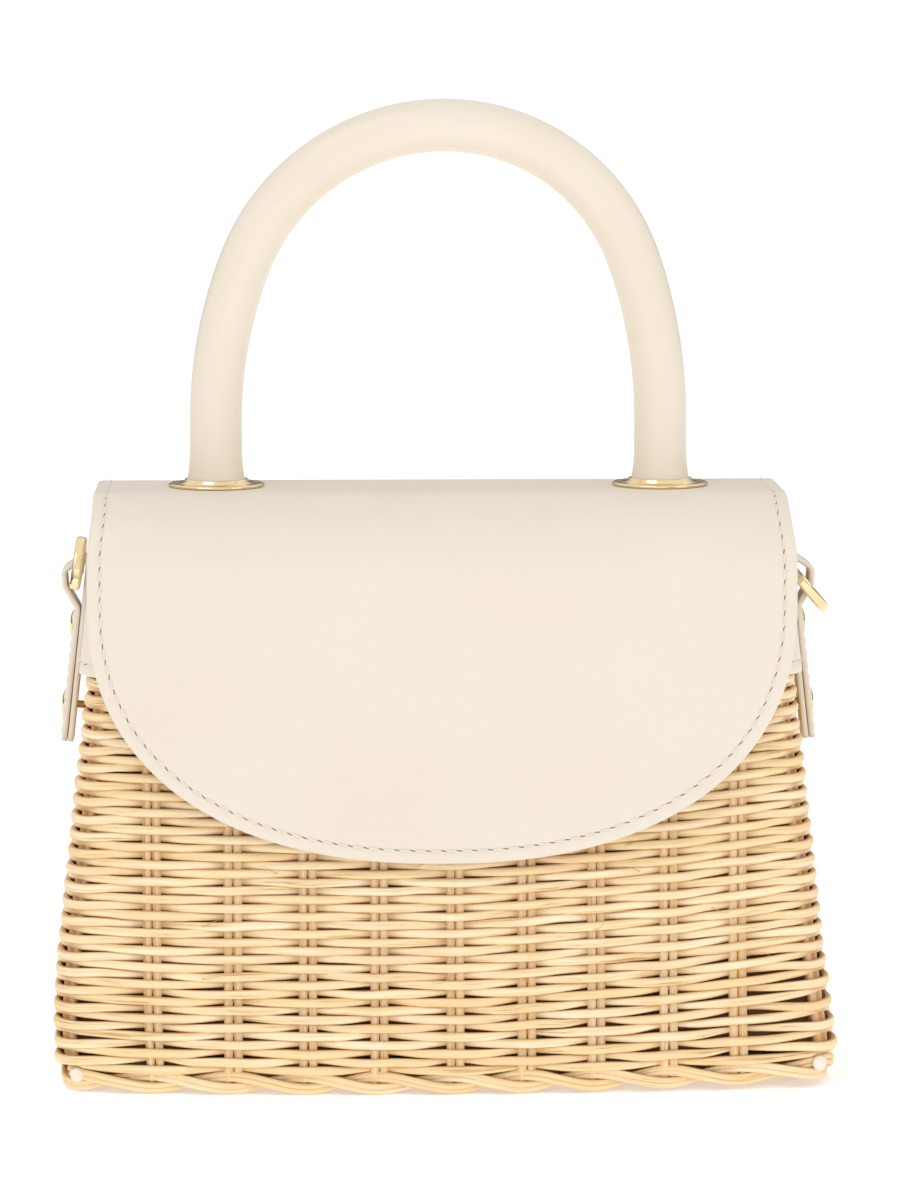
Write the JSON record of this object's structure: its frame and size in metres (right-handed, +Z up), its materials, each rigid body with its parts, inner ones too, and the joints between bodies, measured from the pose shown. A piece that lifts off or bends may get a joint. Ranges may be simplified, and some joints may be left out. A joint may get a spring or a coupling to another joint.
{
  "type": "basket box bag",
  "caption": "Small box-shaped woven cane handbag with a leather flap lid, an arched leather handle and strap rings on its ends.",
  "frame": {"origin": "centre of the bounding box at the base, on the surface the bag stands on", "axes": "+Z up; the flap hangs down the -Y face; +X to the right seen from the flap side"},
  "size_m": [0.2041, 0.09, 0.2518],
  "materials": {
    "cane": "natural cane, satin",
    "cream_leather": "smooth satin",
    "lining_cloth": "plain weave, matt",
    "stiff_board": "matt",
    "cotton_rope": "matt",
    "gold_brass": "polished",
    "plated_steel": "bright plated"
  },
  "bodies": {
    "basket": {"wicker_shell": "cane", "end_rod_left": "cane", "end_rod_right": "cane", "base_board": "stiff_board", "bag_lining": "lining_cloth", "rim_hoop": "cane", "rim_facing": "cream_leather", "end_board_left": "stiff_board", "end_board_right": "stiff_board", "hinge_panel": "cream_leather", "end_tab_left": "cream_leather", "end_tab_right": "cream_leather", "rivet_upper_left": "gold_brass", "rivet_upper_right": "gold_brass", "rivet_lower_left": "gold_brass", "rivet_lower_right": "gold_brass", "catch_socket": "plated_steel", "catch_washer": "plated_steel"},
    "lid": {"flap": "cream_leather", "flap_lining": "lining_cloth", "top_board": "stiff_board", "catch_stud": "plated_steel", "handle_cover": "cream_leather", "handle_core": "cotton_rope", "handle_flange_left": "gold_brass", "handle_flange_right": "gold_brass", "handle_bolt_left": "plated_steel", "handle_bolt_right": "plated_steel", "handle_washer_left": "plated_steel", "handle_washer_right": "plated_steel", "handle_nut_left": "plated_steel", "handle_nut_right": "plated_steel"},
    "left_ring": {"ring_left": "gold_brass"},
    "right_ring": {"ring_right": "gold_brass"}
  },
  "joints": [
    {"name": "lid_hinge", "type": "hinge", "parent": "basket", "child": "lid", "pos_m": [0, 0.0372, 0.131], "axis": [-1, 0, 0], "range_deg": [0, 110]},
    {"name": "left_ring_swing", "type": "hinge", "parent": "basket", "child": "left_ring", "pos_m": [-0.094, 0, 0.1276], "axis": [0, 1, 0], "range_deg": [-160, 0]},
    {"name": "right_ring_swing", "type": "hinge", "parent": "basket", "child": "right_ring", "pos_m": [0.094, 0, 0.1276], "axis": [0, -1, 0], "range_deg": [-12, 148]}
  ]
}
